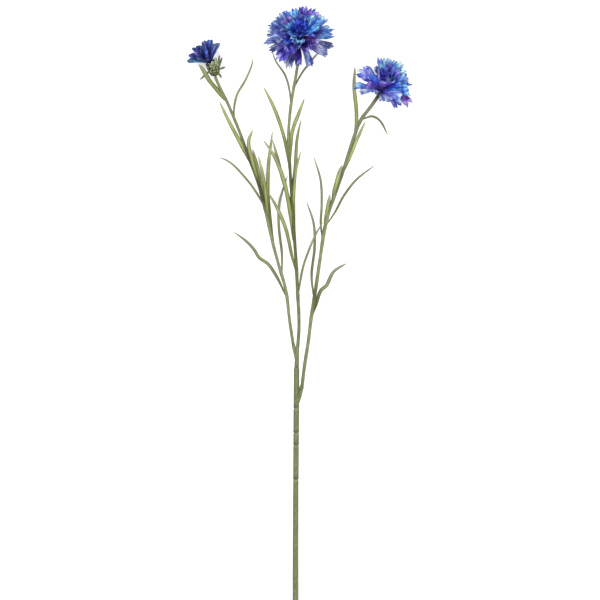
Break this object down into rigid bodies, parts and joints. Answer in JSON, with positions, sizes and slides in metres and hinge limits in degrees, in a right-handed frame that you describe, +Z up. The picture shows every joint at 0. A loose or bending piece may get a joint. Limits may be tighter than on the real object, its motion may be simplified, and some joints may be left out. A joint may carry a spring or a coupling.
{
  "type": "cornflower spray",
  "caption": "Cut cornflower spray lying flat: a jointed stem forks into leafy branches with open blue-violet blooms and a half-open bud.",
  "frame": {"origin": "centre of the spray's footprint, on the surface it lies on", "axes": "+Y along the stem towards the blooms, +Z up off the surface"},
  "size_m": [0.2257, 0.6046, 0.0577],
  "materials": {
    "stem": "olive green flocked stem, matte, with ring joints",
    "leaf": "grey-green matte leaves and branches, paler towards the tips",
    "calyx": "woolly grey-green scales, matte",
    "cup": "dark olive stem end, matte",
    "petal_violet": "violet to lavender cloth petals with toothed rims",
    "petal_blue": "sky to royal blue cloth petals with toothed rims",
    "bud_blue": "royal blue closed cloth florets with rounded ends",
    "heart": "navy tuft with pale blue florets"
  },
  "bodies": {
    "root": {"main_stem": "stem", "branch_left": "leaf", "branch_middle": "leaf", "branch_right": "leaf", "bud_calyx": "calyx", "bud_florets": "bud_blue", "middle_cup": "cup", "middle_outer_petals": "petal_violet", "middle_inner_petals": "petal_blue", "middle_heart": "heart", "right_cup": "cup", "right_outer_petals": "petal_violet", "right_inner_petals": "petal_blue", "right_heart": "heart"}
  },
  "joints": []
}
